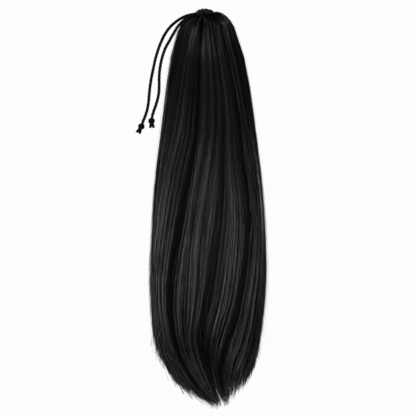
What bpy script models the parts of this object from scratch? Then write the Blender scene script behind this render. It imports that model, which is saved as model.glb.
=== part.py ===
# A drawstring ponytail hairpiece, hanging by its drawn mouth.
# Metres, +Z up, front towards -Y, origin at the middle of the mouth, level with the top of the ruches.

import math

import bmesh
import bpy
from mathutils import Vector

# Drawstring
CORD_WIDTH = 0.003
GAP = 0.0003

# Casing, the ruched edge of the cap folded over the cord
MOUTH_WIDTH = 0.0076
CASING_WALL = 0.001
CASING_HEIGHT = 0.0145
RUCHES = 10
RUCHE_DEPTH = 0.0009
INNER_RUCHE = 0.6
RUCHE_DROP = 0.0011
COLUMNS_PER_RUCHE = 4
CORD_DEPTH = 0.0046
SLOT_WIDTH = 0.0104
SLOT_HEIGHT = 0.0062
LOOP_ENDS = math.radians(34)
LOOP_STEPS = 26

# Cap, the cloth pouch under the hair
CAP_WALL = 0.0012
CAP_WIDTH = 0.047
CAP_DEPTH = 0.039
CAP_HEIGHT = 0.066
CAP_GATHER = 0.0004
CAP_COLUMNS = 30

# Hair
HAIR_LENGTH = 0.469
FALL_WIDTH = 0.138
FALL_DEPTH = 0.062
LOCKS = 27
COLUMNS_PER_LOCK = 4
LOCK_GROOVE = 0.0026
CROWN_GROOVE = 0.55
GROOVE_PROFILE = (1.0, 0.30, 0.0, 0.30)
LOCK_TIP = 0.025
TIP_SPREAD = 0.42
SIDE_RISE = 0.058
HEM_CURVE = 2.8
SWAY = 0.085
WAVES = 1.15
WAVE_LAG = 0.11
FALL_ROWS = 17
ROW_CROWDING = 0.22

# Knots at the cord's ends
KNOT_WIDTH = 0.0076
KNOT_HEIGHT = 0.0072
TAIL_WIDTH = 0.0026
TAIL_LENGTH = 0.0094

# Places that follow from those sizes
INNER_WALL = MOUTH_WIDTH / 2 + CASING_WALL / 2 + RUCHE_DEPTH * INNER_RUCHE
LOOP_RADIUS = INNER_WALL + CASING_WALL / 2 + GAP + CORD_WIDTH / 2
OUTER_WALL = LOOP_RADIUS + CORD_WIDTH / 2 + GAP + CASING_WALL / 2
CASING_RADIUS = OUTER_WALL + CASING_WALL / 2 + RUCHE_DEPTH
COLLAR_RADIUS = CASING_RADIUS + GAP
CAP_TOP = CORD_DEPTH + CORD_WIDTH / 2 + 2 * GAP
CAP_NECK = LOOP_RADIUS + CAP_WALL / 2

# Where each free end of the drawstring runs on from the loop: out of the slot, over the left shoulder
# and down
OUTER_ROUTE = [
    (-0.0080, 0.0026, -0.0048),
    (-0.0098, 0.0021, -0.0049),
    (-0.0132, 0.0019, -0.0050),
    (-0.0168, 0.0019, -0.0056),
    (-0.0221, 0.0018, -0.0072),
    (-0.0284, 0.0012, -0.0108),
    (-0.0347, 0.0002, -0.0152),
    (-0.0412, -0.0010, -0.0213),
    (-0.0465, -0.0018, -0.0287),
    (-0.0513, -0.0024, -0.0381),
    (-0.0550, -0.0028, -0.0477),
    (-0.0582, -0.0031, -0.0583),
    (-0.0608, -0.0033, -0.0701),
    (-0.0630, -0.0034, -0.0807),
    (-0.0647, -0.0035, -0.0913),
    (-0.0658, -0.0035, -0.1019),
    (-0.0666, -0.0035, -0.1104),
    (-0.0678, -0.0034, -0.1178),
    (-0.0699, -0.0033, -0.1253),
    (-0.0722, -0.0032, -0.1312),
    (-0.0738, -0.0032, -0.1352),
]
INNER_ROUTE = [
    (-0.0080, -0.0026, -0.0049),
    (-0.0098, -0.0022, -0.0054),
    (-0.0132, -0.0025, -0.0066),
    (-0.0168, -0.0036, -0.0083),
    (-0.0226, -0.0056, -0.0110),
    (-0.0276, -0.0066, -0.0150),
    (-0.0322, -0.0068, -0.0203),
    (-0.0372, -0.0066, -0.0286),
    (-0.0418, -0.0064, -0.0371),
    (-0.0465, -0.0062, -0.0466),
    (-0.0496, -0.0062, -0.0552),
    (-0.0522, -0.0062, -0.0658),
    (-0.0534, -0.0062, -0.0743),
    (-0.0539, -0.0062, -0.0828),
    (-0.0539, -0.0062, -0.0913),
    (-0.0542, -0.0062, -0.0988),
    (-0.0555, -0.0062, -0.1061),
    (-0.0576, -0.0062, -0.1136),
    (-0.0602, -0.0062, -0.1210),
    (-0.0622, -0.0062, -0.1276),
]
OUTER_KNOT = Vector((-0.0756, -0.0032, -0.1391))
INNER_KNOT = Vector((-0.0633, -0.0062, -0.1315))

# The crown, where the hair bends over from the collar to the fall. Columns are the drop at the left and
# at the right as shares of HAIR_LENGTH, then how far it has come sideways and frontways, as shares.
CROWN = [
    (0.0205, 0.0128, 0.000, 0.000),
    (0.0198, 0.0082, 0.082, 0.130),
    (0.0212, 0.0074, 0.208, 0.320),
    (0.0262, 0.0108, 0.408, 0.550),
    (0.0345, 0.0184, 0.630, 0.750),
    (0.0450, 0.0296, 0.832, 0.895),
    (0.0580, 0.0440, 1.000, 1.000),
]

# The fall below the crown. Columns are the drop as a share of HAIR_LENGTH, the middle and the half width
# as shares of half FALL_WIDTH, and the half depth as a share of half FALL_DEPTH.
FALL = [
    (0.040, 0.038, 0.456, 0.680),
    (0.068, 0.041, 0.535, 0.740),
    (0.098, 0.043, 0.596, 0.790),
    (0.139, 0.052, 0.652, 0.835),
    (0.181, 0.057, 0.699, 0.870),
    (0.222, 0.062, 0.738, 0.895),
    (0.322, 0.065, 0.826, 0.940),
    (0.443, 0.067, 0.922, 0.980),
    (0.565, 0.072, 0.980, 1.000),
    (0.687, 0.065, 0.997, 0.980),
    (0.748, 0.064, 0.974, 0.945),
    (0.810, 0.058, 0.935, 0.880),
    (0.853, 0.064, 0.890, 0.810),
    (0.932, 0.100, 0.790, 0.590),
    (1.000, 0.135, 0.670, 0.300),
]

# The underside of the fall. Columns are the reach from its middle, the rise above the hem, and how much
# of a lock's tip shows there.
UNDERSIDE = [
    (0.82, 0.016, 0.40),
    (0.60, 0.018, 0.00),
    (0.42, 0.000, 0.80),
    (0.20, 0.020, 0.00),
]

# The cap's outline. Columns are the drop below its neck as a share of its height, and the shares of the
# neck's and of the belly's size that make its reach there.
CAP_OUTLINE = [
    (0.00, 1.00, 0.00),
    (0.10, 1.00, 0.00),
    (0.19, 0.78, 0.34),
    (0.30, 0.42, 0.69),
    (0.43, 0.12, 0.92),
    (0.58, 0.00, 1.00),
    (0.73, 0.00, 0.94),
    (0.86, 0.00, 0.74),
    (0.95, 0.00, 0.44),
]


for old in list(bpy.data.objects):
    bpy.data.objects.remove(old, do_unlink=True)


def material(name, colour, roughness):
    made = bpy.data.materials.new(name)
    made.use_nodes = True
    shader = made.node_tree.nodes["Principled BSDF"]
    shader.inputs["Base Color"].default_value = (*colour, 1.0)
    shader.inputs["Roughness"].default_value = roughness
    shader.inputs["Metallic"].default_value = 0.0
    return made


HAIR_BLACK = material("black_synthetic_hair", (0.012, 0.011, 0.012), 0.42)
CLOTH_BLACK = material("black_stretch_cloth", (0.020, 0.020, 0.022), 0.75)
CORD_BLACK = material("black_braided_cord", (0.008, 0.008, 0.009), 0.6)

hairpiece = bpy.data.collections.new("ponytail_hairpiece")
tail_shapes = bpy.data.collections.new("tail_shapes")
bpy.context.scene.collection.children.link(hairpiece)
bpy.context.scene.collection.children.link(tail_shapes)


def place(piece, finish):
    piece.data.materials.append(finish)
    hairpiece.objects.link(piece)
    return piece


def curved(table, where):
    """The table's row at a place in its first column, on a smooth curve through its rows."""
    last = len(table) - 2
    i = max(k for k in range(last + 1) if k == 0 or table[k][0] <= where)
    before, here, after, beyond = (table[min(max(k, 0), last + 1)] for k in range(i - 1, i + 3))
    t = min(max((where - here[0]) / (after[0] - here[0]), 0.0), 1.0)
    row = []
    for column in range(1, len(here)):
        slope_here = (after[column] - before[column]) / (after[0] - before[0])
        slope_after = (beyond[column] - here[column]) / (beyond[0] - here[0])
        span = after[0] - here[0]
        row.append(
            here[column] * (2 * t**3 - 3 * t**2 + 1)
            + slope_here * span * (t**3 - 2 * t**2 + t)
            + after[column] * (3 * t**2 - 2 * t**3)
            + slope_after * span * (t**3 - t**2)
        )
    return row


def loft(name, rings, finish, ends=(None, None)):
    """A skin through rings of points, each ring as long as its neighbour or a whole number of times it."""
    bm = bmesh.new()
    made = [[bm.verts.new(point) for point in ring] for ring in rings]
    for upper, lower in zip(made, made[1:]):
        many, few = (upper, lower) if len(upper) >= len(lower) else (lower, upper)
        ratio = len(many) // len(few)
        for j, vert in enumerate(few):
            following = few[(j + 1) % len(few)]
            run = [many[(j * ratio + k) % len(many)] for k in range(ratio + 1)]
            for k in range(ratio - 1):
                bm.faces.new((vert, run[k + 1], run[k]))
            bm.faces.new((vert, following, run[ratio], run[ratio - 1]))
    for point, ring in zip(ends, (made[0], made[-1])):
        if point is not None:
            pole = bm.verts.new(point)
            for j, vert in enumerate(ring):
                bm.faces.new((pole, vert, ring[(j + 1) % len(ring)]))
    bmesh.ops.recalc_face_normals(bm, faces=bm.faces)
    mesh = bpy.data.meshes.new(name)
    bm.to_mesh(mesh)
    bm.free()
    mesh.shade_smooth()
    return place(bpy.data.objects.new(name, mesh), finish)


def wall(shell, thickness, offset):
    solid = shell.modifiers.new("wall", "SOLIDIFY")
    solid.thickness = thickness
    solid.offset = offset
    solid.use_even_offset = True


# Casing


def build_casing():
    columns = RUCHES * COLUMNS_PER_RUCHE
    middle = (INNER_WALL + OUTER_WALL) / 2
    reach = (OUTER_WALL - INNER_WALL) / 2
    spring = CORD_DEPTH - CASING_WALL / 2
    slot_top = CORD_DEPTH - CORD_WIDTH / 2 - 2 * GAP
    # The profile runs from the foot of the inner wall over the cord to the foot of the outer wall.
    profile = [(-1.0, CASING_HEIGHT), (-1.0, slot_top + SLOT_HEIGHT), (-1.0, slot_top + 0.0006)]
    for step in range(1, 6):
        angle = math.pi * step / 6
        profile.append((-math.cos(angle), slot_top * (1 - math.sin(angle)) + CASING_WALL / 2))
    outer_start = len(profile)
    profile += [(1.0, slot_top + 0.0006), (1.0, slot_top + SLOT_HEIGHT), (1.0, CASING_HEIGHT)]
    bm = bmesh.new()
    grid = []
    for j in range(columns):
        angle = 2 * math.pi * (j + 0.5) / columns
        puff = 0.5 + 0.5 * math.cos(RUCHES * angle + 0.6 * math.sin(3 * angle))
        strip = []
        for side, drop in profile:
            radius = middle + side * reach
            radius += RUCHE_DEPTH * puff * (side if side > 0 else INNER_RUCHE * side)
            height = 1 - min(drop / spring, 1.0)
            fallen = drop + RUCHE_DROP * (1 - puff) * height
            strip.append(bm.verts.new((radius * math.cos(angle), radius * math.sin(angle), -fallen)))
        grid.append((angle, strip))
    for j, (angle, strip) in enumerate(grid):
        next_angle, following = grid[(j + 1) % columns]
        side = OUTER_WALL * math.sin((angle + next_angle) / 2)
        in_slot = abs(side) < SLOT_WIDTH / 2 and math.cos(angle) < 0
        for i in range(len(profile) - 1):
            if in_slot and i == outer_start:
                continue
            bm.faces.new((strip[i], strip[i + 1], following[i + 1], following[i]))
    bmesh.ops.recalc_face_normals(bm, faces=bm.faces)
    mesh = bpy.data.meshes.new("drawstring_casing")
    bm.to_mesh(mesh)
    bm.free()
    mesh.shade_smooth()
    casing = place(bpy.data.objects.new("drawstring_casing", mesh), CLOTH_BLACK)
    wall(casing, CASING_WALL, 0.0)


# Cap


def cap_ring(drop, out, columns):
    """The cap's outline at a share of its height, moved out by a distance."""
    neck, belly = curved(CAP_OUTLINE, drop)
    across = neck * CAP_NECK + belly * CAP_WIDTH / 2 + out
    deep = neck * CAP_NECK + belly * CAP_DEPTH / 2 + out
    ring = []
    for j in range(columns):
        angle = 2 * math.pi * j / columns
        ring.append((across * math.cos(angle), deep * math.sin(angle), -CAP_TOP - drop * CAP_HEIGHT))
    return ring


def build_cap():
    rings = []
    for drop, neck, _ in CAP_OUTLINE:
        ring = []
        for j, (x, y, z) in enumerate(cap_ring(drop, 0.0, CAP_COLUMNS)):
            gather = CAP_GATHER * (1 if j % 2 else -1) * (neck if neck < 0.9 else 0.0)
            size = math.hypot(x, y)
            ring.append((x * (1 + gather / size), y * (1 + gather / size), z))
        rings.append(ring)
    bottom = (0.0, 0.0, -CAP_TOP - CAP_HEIGHT)
    cap = loft("cap", rings, CLOTH_BLACK, ends=(None, bottom))
    wall(cap, CAP_WALL, -1.0)


# Hair


def hem_drop(angle):
    return HAIR_LENGTH - SIDE_RISE * abs(math.cos(angle)) ** HEM_CURVE


def fall_point(angle, drop, reach=1.0):
    middle, half_width, half_depth = curved(FALL, drop / HAIR_LENGTH)
    x = (middle + reach * half_width * math.cos(angle)) * FALL_WIDTH / 2
    y = reach * half_depth * math.sin(angle) * FALL_DEPTH / 2
    return Vector((x, y, -drop))


def lock_length(lock):
    """How far a lock's tip stands above the hem: no two neighbours end level."""
    return LOCK_TIP * TIP_SPREAD * (0.5 + 0.5 * math.sin(2.4 * lock + 0.9 * math.sin(1.7 * lock)))


def build_hair():
    columns = LOCKS * COLUMNS_PER_LOCK
    crown_left, crown_right = CROWN[-1][0], CROWN[-1][1]

    def angle_of(column, along):
        base = 2 * math.pi * column / columns
        lock = column / COLUMNS_PER_LOCK
        return base + SWAY * along * math.sin(2 * math.pi * (WAVES * along + WAVE_LAG * lock))

    def carved(point, angle, depth):
        inward = Vector((-math.cos(angle) * 0.45, -math.sin(angle), 0)).normalized()
        return point + inward * depth

    rings = []
    for left_drop, right_drop, reach, front in CROWN:
        ring = []
        for column in range(columns):
            angle = angle_of(column, 0.0)
            toward_right = 0.5 + 0.5 * math.cos(angle)
            drop = HAIR_LENGTH * (left_drop + (right_drop - left_drop) * toward_right)
            edge_drop = HAIR_LENGTH * (crown_left + (crown_right - crown_left) * toward_right)
            edge = fall_point(angle, edge_drop)
            collar = Vector((math.cos(angle), math.sin(angle), 0)) * COLLAR_RADIUS
            x = collar.x + (edge.x - collar.x) * reach
            y = collar.y + (edge.y - collar.y) * front
            point = Vector((x, y, -drop))
            depth = LOCK_GROOVE * CROWN_GROOVE * GROOVE_PROFILE[column % COLUMNS_PER_LOCK] * reach
            ring.append(carved(point, angle, depth))
        rings.append(ring)
    for row in range(1, FALL_ROWS + 1):
        along = row / FALL_ROWS
        along += ROW_CROWDING * along * (1 - along)
        ring = []
        for column in range(columns):
            base = angle_of(column, 0.0)
            angle = angle_of(column, along)
            toward_right = 0.5 + 0.5 * math.cos(base)
            start = HAIR_LENGTH * (crown_left + (crown_right - crown_left) * toward_right)
            groove = GROOVE_PROFILE[column % COLUMNS_PER_LOCK]
            lock = (column + 1) // COLUMNS_PER_LOCK
            end = hem_drop(base) - lock_length(lock) - LOCK_TIP * groove
            point = fall_point(angle, start + (end - start) * along)
            depth = LOCK_GROOVE * (CROWN_GROOVE + (1 - CROWN_GROOVE) * along) * groove
            ring.append(carved(point, angle, depth))
        rings.append(ring)
    for reach, rise, tips in UNDERSIDE:
        ring = []
        for column in range(columns):
            base = angle_of(column, 1.0)
            level = math.acos(max(-1.0, min(1.0, reach * math.cos(base))))
            groove = GROOVE_PROFILE[column % COLUMNS_PER_LOCK]
            lock = (column + 1) // COLUMNS_PER_LOCK
            drop = hem_drop(level) - rise - lock_length(lock) - LOCK_TIP * (1 - (1 - groove) * tips)
            ring.append(carved(fall_point(base, drop, reach), base, LOCK_GROOVE * groove * reach**3))
        rings.append(ring)
    rings.reverse()
    # The pocket that the casing and the cap sit in
    pocket_columns = columns // COLUMNS_PER_LOCK
    clear = GAP + CAP_GATHER
    foot = CASING_HEIGHT + GAP
    pocket = []
    for drop in (CASING_HEIGHT * 0.8, foot):
        angles = [2 * math.pi * j / pocket_columns for j in range(pocket_columns)]
        pocket.append([(COLLAR_RADIUS * math.cos(a), COLLAR_RADIUS * math.sin(a), -drop) for a in angles])
    for drop, _, _ in CAP_OUTLINE:
        if CAP_TOP + drop * CAP_HEIGHT > foot:
            ring = cap_ring(drop, clear, pocket_columns)
            pocket.append([(x, y, z) for x, y, z in ring])
    under = fall_point(math.pi / 2, HAIR_LENGTH * 0.93, 0.0)
    bottom = (0.0, 0.0, -CAP_TOP - CAP_HEIGHT - clear)
    loft("hair_fall", rings + pocket, HAIR_BLACK, ends=(under, bottom))


# Drawstring


def cord(name, points):
    curve = bpy.data.curves.new(name, "CURVE")
    curve.dimensions = "3D"
    curve.bevel_depth = CORD_WIDTH / 2
    curve.bevel_resolution = 2
    curve.use_fill_caps = True
    spline = curve.splines.new("POLY")
    spline.points.add(len(points) - 1)
    for spot, point in zip(spline.points, points):
        spot.co = (*point, 1.0)
    return place(bpy.data.objects.new(name, curve), CORD_BLACK)


def smooth_route(points, between):
    """Points on a smooth curve through a route's own points."""
    points = [Vector(point) for point in points]
    route = []
    for i in range(len(points) - 1):
        before, here = points[max(i - 1, 0)], points[i]
        after, beyond = points[i + 1], points[min(i + 2, len(points) - 1)]
        for step in range(between):
            t = step / between
            route.append(
                here * (2 * t**3 - 3 * t**2 + 1)
                + (after - before) * 0.5 * (t**3 - 2 * t**2 + t)
                + after * (3 * t**2 - 2 * t**3)
                + (beyond - here) * 0.5 * (t**3 - t**2)
            )
    return route + [points[-1]]


def loop_point(angle):
    return Vector((LOOP_RADIUS * math.cos(angle), LOOP_RADIUS * math.sin(angle), -CORD_DEPTH))


def build_loop():
    turn = 2 * (math.pi - LOOP_ENDS)
    points = [loop_point(math.pi + LOOP_ENDS + turn * step / LOOP_STEPS) for step in range(LOOP_STEPS + 1)]
    cord("drawstring_loop", points)


def build_free_end(name, side, route):
    """A free end starts a gap away from the loop's end, on the back for side 1 and the front for -1."""
    angle = math.pi - side * (LOOP_ENDS - GAP / LOOP_RADIUS)
    start = loop_point(angle)
    onward = start + side * 0.3 * CORD_WIDTH * Vector((-math.sin(angle), math.cos(angle), 0))
    cord(name, [start, *smooth_route([onward, *route], 2)])


def knot(name, centre, tails):
    """A round lump with two wraps, and the cord's two short tail ends, as shares of TAIL_LENGTH."""
    bm = bmesh.new()
    bmesh.ops.create_uvsphere(bm, u_segments=16, v_segments=10, radius=1.0)
    for vert in bm.verts:
        turn = math.atan2(vert.co.y, vert.co.x)
        wrap = 1 + 0.09 * math.cos(2 * turn + 5 * vert.co.z)
        vert.co.x *= wrap * KNOT_WIDTH / 2
        vert.co.y *= wrap * KNOT_WIDTH / 2
        vert.co.z *= KNOT_HEIGHT / 2
    lump = bpy.data.meshes.new(name)
    bm.to_mesh(lump)
    bm.free()
    lump.shade_smooth()
    made = place(bpy.data.objects.new(name, lump), CORD_BLACK)
    made.location = centre
    for number, tail_end in enumerate(tails):
        bm = bmesh.new()
        tip = Vector(tail_end) * TAIL_LENGTH
        bmesh.ops.create_cone(
            bm,
            cap_ends=True,
            segments=8,
            radius1=TAIL_WIDTH / 2 * 0.8,
            radius2=TAIL_WIDTH / 2 * 1.25,
            depth=tip.length,
        )
        turned = tip.to_track_quat("Z", "Y").to_matrix().to_4x4()
        bmesh.ops.translate(bm, verts=bm.verts, vec=(0, 0, tip.length / 2))
        bmesh.ops.transform(bm, matrix=turned, verts=bm.verts)
        mesh = bpy.data.meshes.new(f"{name}_tail_{number}")
        bm.to_mesh(mesh)
        bm.free()
        tail = bpy.data.objects.new(mesh.name, mesh)
        tail.location = centre
        tail.hide_render = True
        tail.display_type = "WIRE"
        tail_shapes.objects.link(tail)
        join = made.modifiers.new(f"tail_{number}", "BOOLEAN")
        join.operation = "UNION"
        join.object = tail


build_casing()
build_cap()
build_hair()
build_loop()
build_free_end("cord_outer", 1, OUTER_ROUTE)
build_free_end("cord_inner", -1, INNER_ROUTE)
knot("knot_outer", OUTER_KNOT, [(-0.70, -0.06, -0.70), (-0.23, 0.06, -1.00)])
knot("knot_inner", INNER_KNOT, [(-0.14, -0.06, -0.96), (0.28, 0.06, -0.95)])
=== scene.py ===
# A drawstring ponytail hairpiece of long straight black synthetic hair, hanging by its drawn mouth.
# Metres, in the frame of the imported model: +Z up, front towards -Y, origin in the middle of the mouth.

import math

import bmesh
import bpy
import numpy as np
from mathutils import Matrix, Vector


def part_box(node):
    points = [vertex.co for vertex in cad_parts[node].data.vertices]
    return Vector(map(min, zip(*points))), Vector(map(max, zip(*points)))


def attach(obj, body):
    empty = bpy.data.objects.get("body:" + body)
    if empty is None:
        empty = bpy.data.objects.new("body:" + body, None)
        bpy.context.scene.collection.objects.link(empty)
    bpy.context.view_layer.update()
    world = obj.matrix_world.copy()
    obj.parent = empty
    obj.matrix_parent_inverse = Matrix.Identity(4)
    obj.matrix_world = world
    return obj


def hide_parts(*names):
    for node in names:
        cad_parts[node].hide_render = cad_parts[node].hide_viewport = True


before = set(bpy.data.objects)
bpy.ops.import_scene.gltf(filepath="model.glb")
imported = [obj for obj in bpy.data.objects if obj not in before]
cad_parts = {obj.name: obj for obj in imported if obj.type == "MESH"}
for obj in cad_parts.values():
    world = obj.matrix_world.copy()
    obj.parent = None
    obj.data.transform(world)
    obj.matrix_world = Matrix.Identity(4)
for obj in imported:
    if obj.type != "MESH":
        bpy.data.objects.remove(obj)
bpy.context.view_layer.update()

MM = 0.001

# Camera: level with the middle of the hair, square on to the front, far off with a long lens.
CAMERA_DISTANCE = 2.6
VIEW_WIDTH = 0.495
VIEW_MIDDLE = (0.0041, -0.2363)
SENSOR_WIDTH = 36.0

camera_data = bpy.data.cameras.new("camera")
camera_data.sensor_width = SENSOR_WIDTH
camera_data.lens = SENSOR_WIDTH * CAMERA_DISTANCE / VIEW_WIDTH
camera_data.clip_start = 0.05
camera_data.clip_end = 20.0
camera = bpy.data.objects.new("camera", camera_data)
camera.location = (VIEW_MIDDLE[0], -CAMERA_DISTANCE, VIEW_MIDDLE[1])
camera.rotation_euler = (math.radians(90), 0, 0)
bpy.context.collection.objects.link(camera)
bpy.context.scene.camera = camera
bpy.context.scene.view_settings.view_transform = "Standard"


# Drawstring: a 3 mm cord of three twisted plies of black polyester. Its two free ends come out of the
# casing's slot at the left, lie over the hair's shoulder and hang down. Each ends in a knot.
CORD_DIAMETER = 3.0 * MM
CORD_PLIES = 3
PLY_PITCH = 4.7 * MM
# How deep the grooves between the plies are, as a share of the radius, and how near to the crown of a
# ply, at 1, its painted highlight starts
PLY_DEPTH = 0.20
PLY_CROWN = 0.93
# The height between groove and crown that isn't moved in or out, and the radius there, as shares
PLY_MIDDLE = 0.35
CORD_FULLNESS = 1.12
CORD_RING_STEP = 0.35 * MM
CORD_SIDES = 18

# The middle lines of the two ends, from inside the casing to the knots: x, y and z
OUTER_ROUTE = [
    (-0.0057, 0.0041, -0.0046),
    (-0.0064, 0.0036, -0.0046),
    (-0.0080, 0.0026, -0.0048),
    (-0.0098, 0.0021, -0.0049),
    (-0.0132, 0.0019, -0.0055),
    (-0.0168, 0.0019, -0.0062),
    (-0.0221, 0.0018, -0.0077),
    (-0.0284, 0.0012, -0.0108),
    (-0.0347, 0.0002, -0.0152),
    (-0.0412, -0.0010, -0.0213),
    (-0.0465, -0.0018, -0.0287),
    (-0.0513, -0.0024, -0.0381),
    (-0.0550, -0.0028, -0.0477),
    (-0.0582, -0.0031, -0.0583),
    (-0.0608, -0.0033, -0.0701),
    (-0.0630, -0.0034, -0.0807),
    (-0.0647, -0.0035, -0.0913),
    (-0.0658, -0.0035, -0.1019),
    (-0.0666, -0.0035, -0.1104),
    (-0.0678, -0.0034, -0.1178),
    (-0.0699, -0.0033, -0.1253),
    (-0.0722, -0.0032, -0.1312),
    (-0.0738, -0.0032, -0.1352),
]
INNER_ROUTE = [
    (-0.0057, -0.0041, -0.0046),
    (-0.0064, -0.0036, -0.0046),
    (-0.0080, -0.0026, -0.0049),
    (-0.0098, -0.0022, -0.0054),
    (-0.0132, -0.0025, -0.0066),
    (-0.0168, -0.0036, -0.0083),
    (-0.0226, -0.0056, -0.0120),
    (-0.0276, -0.0066, -0.0163),
    (-0.0322, -0.0068, -0.0217),
    (-0.0372, -0.0066, -0.0299),
    (-0.0418, -0.0064, -0.0381),
    (-0.0465, -0.0062, -0.0466),
    (-0.0496, -0.0062, -0.0552),
    (-0.0522, -0.0062, -0.0658),
    (-0.0534, -0.0062, -0.0743),
    (-0.0539, -0.0062, -0.0828),
    (-0.0539, -0.0062, -0.0913),
    (-0.0542, -0.0062, -0.0988),
    (-0.0555, -0.0062, -0.1061),
    (-0.0576, -0.0062, -0.1136),
    (-0.0602, -0.0062, -0.1210),
    (-0.0622, -0.0062, -0.1276),
]


def linear(hex_colour):
    """An sRGB hex colour as linear red, green, blue and alpha."""
    parts = [int(hex_colour[i : i + 2], 16) / 255 for i in (1, 3, 5)]
    return (*(c / 12.92 if c <= 0.04045 else ((c + 0.055) / 1.055) ** 2.4 for c in parts), 1.0)


def new_material(name):
    """A material, its node tree and its main shader."""
    made = bpy.data.materials.new(name)
    made.use_nodes = True
    return made, made.node_tree, made.node_tree.nodes["Principled BSDF"]


def node(tree, kind, settings=(), inputs=(), links=()):
    """A node with its settings, its own values, and links into it as (input, other node, output)."""
    made = tree.nodes.new(kind)
    for key, value in dict(settings).items():
        setattr(made, key, value)
    for key, value in dict(inputs).items():
        made.inputs[key].default_value = value
    for key, source, output in links:
        tree.links.new(source.outputs[output], made.inputs[key])
    return made


def mottle(tree, shader, shades, scale, detail):
    """Give the shader a colour that drifts between two shades. Returns the noise and its coordinates."""
    place = node(tree, "ShaderNodeTexCoord")
    noise = node(
        tree,
        "ShaderNodeTexNoise",
        inputs={"Scale": scale, "Detail": detail},
        links=[("Vector", place, "Object")],
    )
    tone = node(
        tree,
        "ShaderNodeMix",
        settings={"data_type": "RGBA"},
        inputs={"A": linear(shades[0]), "B": linear(shades[1])},
        links=[("Factor", noise, "Fac")],
    )
    tree.links.new(tone.outputs["Result"], shader.inputs["Base Color"])
    return noise, place


def hermite(places, values, where):
    """Smooth values at the places asked for, through rows of values: both may be arrays of any width."""
    places = np.asarray(places, float)
    values = np.asarray(values, float)
    where = np.clip(where, places[0], places[-1])
    steps = np.diff(places)
    slopes = np.gradient(values, places, axis=0)
    i = np.clip(np.searchsorted(places, where, side="right") - 1, 0, len(places) - 2)
    h = steps[i]
    t = (where - places[i]) / h
    shape = (...,) + (None,) * (values.ndim - 1)
    h, t = h[shape], t[shape]
    return (
        values[i] * (2 * t**3 - 3 * t**2 + 1)
        + slopes[i] * h * (t**3 - 2 * t**2 + t)
        + values[i + 1] * (3 * t**2 - 2 * t**3)
        + slopes[i + 1] * h * (t**3 - t**2)
    )


def mesh_from(name, points, quads, triangles):
    """A smooth mesh from arrays: points by threes, quads by fours and triangles by threes."""
    quads = np.asarray(quads, np.int32).reshape(-1, 4)
    triangles = np.asarray(triangles, np.int32).reshape(-1, 3)
    mesh = bpy.data.meshes.new(name)
    mesh.vertices.add(len(points))
    mesh.vertices.foreach_set("co", np.asarray(points, np.float32).ravel())
    mesh.loops.add(quads.size + triangles.size)
    mesh.loops.foreach_set("vertex_index", np.concatenate([quads.ravel(), triangles.ravel()]))
    mesh.polygons.add(len(quads) + len(triangles))
    sizes = np.concatenate([np.full(len(quads), 4), np.full(len(triangles), 3)])
    starts = np.concatenate([[0], np.cumsum(sizes)[:-1]]).astype(np.int32)
    mesh.polygons.foreach_set("loop_start", starts)
    mesh.update(calc_edges=True)
    mesh.validate()
    mesh.shade_smooth()
    return mesh


def closed_rings(rows, columns):
    """Quads between rings of points, and triangles that close the first and the last ring, each round
    one of the two points that follow the rings."""
    row, column = np.meshgrid(np.arange(rows - 1), np.arange(columns), indexing="ij")
    here, below = row * columns, (row + 1) * columns
    following = (column + 1) % columns
    quads = np.stack([here + column, here + following, below + following, below + column], -1)
    column, following = column[0], following[0]
    last, count = (rows - 1) * columns, rows * columns
    triangles = np.concatenate([
        np.column_stack([np.full(columns, count), following, column]),
        np.column_stack([np.full(columns, count + 1), last + column, last + following]),
    ])
    return quads, triangles


def add_piece(name, mesh, finish):
    """An object of the hairpiece's one body, with its finish."""
    made = bpy.data.objects.new(name, mesh)
    mesh.materials.append(finish)
    bpy.context.collection.objects.link(made)
    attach(made, "root")
    return made


def even_route(route, step):
    """Points a step apart along a smooth curve through a route's points."""
    route = np.array(route)
    along = np.concatenate([[0], np.cumsum(np.linalg.norm(np.diff(route, axis=0), axis=1))])
    fine = hermite(along, route, np.linspace(0, along[-1], 1200))
    length = np.concatenate([[0], np.cumsum(np.linalg.norm(np.diff(fine, axis=0), axis=1))])
    wanted = np.linspace(0, length[-1], max(2, int(length[-1] / step)))
    return np.column_stack([np.interp(wanted, length, fine[:, k]) for k in range(3)]), wanted


def tube_frames(path):
    """Two directions across a path at each of its points, that don't twist along it."""
    tangent = np.gradient(path, axis=0)
    tangent /= np.linalg.norm(tangent, axis=1)[:, None]
    side = np.cross(tangent[0], (0.0, 1.0, 0.0))
    sides = []
    for t in tangent:
        side = side - t * np.dot(side, t)
        side /= np.linalg.norm(side)
        sides.append(side)
    sides = np.array(sides)
    return sides, np.cross(tangent, sides)


def twisted_cord(name, route, finishes):
    """A cord of twisted plies along a route: finishes are the yarn's, and the painted highlight on the
    plies' crowns.
    """
    path, along = even_route(route, CORD_RING_STEP)
    side, across = tube_frames(path)
    turn = np.arange(CORD_SIDES) * 2 * math.pi / CORD_SIDES
    twist = 2 * math.pi * along / (CORD_PLIES * PLY_PITCH)
    lobe = np.abs(np.cos(CORD_PLIES / 2 * (turn[None, :] - twist[:, None])))
    radius = CORD_DIAMETER / 2 * (CORD_FULLNESS + PLY_DEPTH * (lobe - PLY_MIDDLE))
    rings = path[:, None, :] + radius[..., None] * (
        np.cos(turn)[None, :, None] * side[:, None, :] + np.sin(turn)[None, :, None] * across[:, None, :]
    )
    points = np.concatenate([rings.reshape(-1, 3), path[:1], path[-1:]])
    quads, caps = closed_rings(len(path), CORD_SIDES)
    made = add_piece(name, mesh_from(name, points, quads, caps), finishes[0])
    made.data.materials.append(finishes[1])
    # The faces on the plies' crowns take the lighter finish, a painted highlight
    on_ply = (lobe[:-1] + np.roll(lobe[:-1], -1, axis=1)) / 2 > PLY_CROWN
    index = np.concatenate([on_ply.ravel(), np.zeros(len(caps), bool)]).astype(np.int32)
    made.data.polygons.foreach_set("material_index", index)
    return made, path, along[-1]


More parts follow.
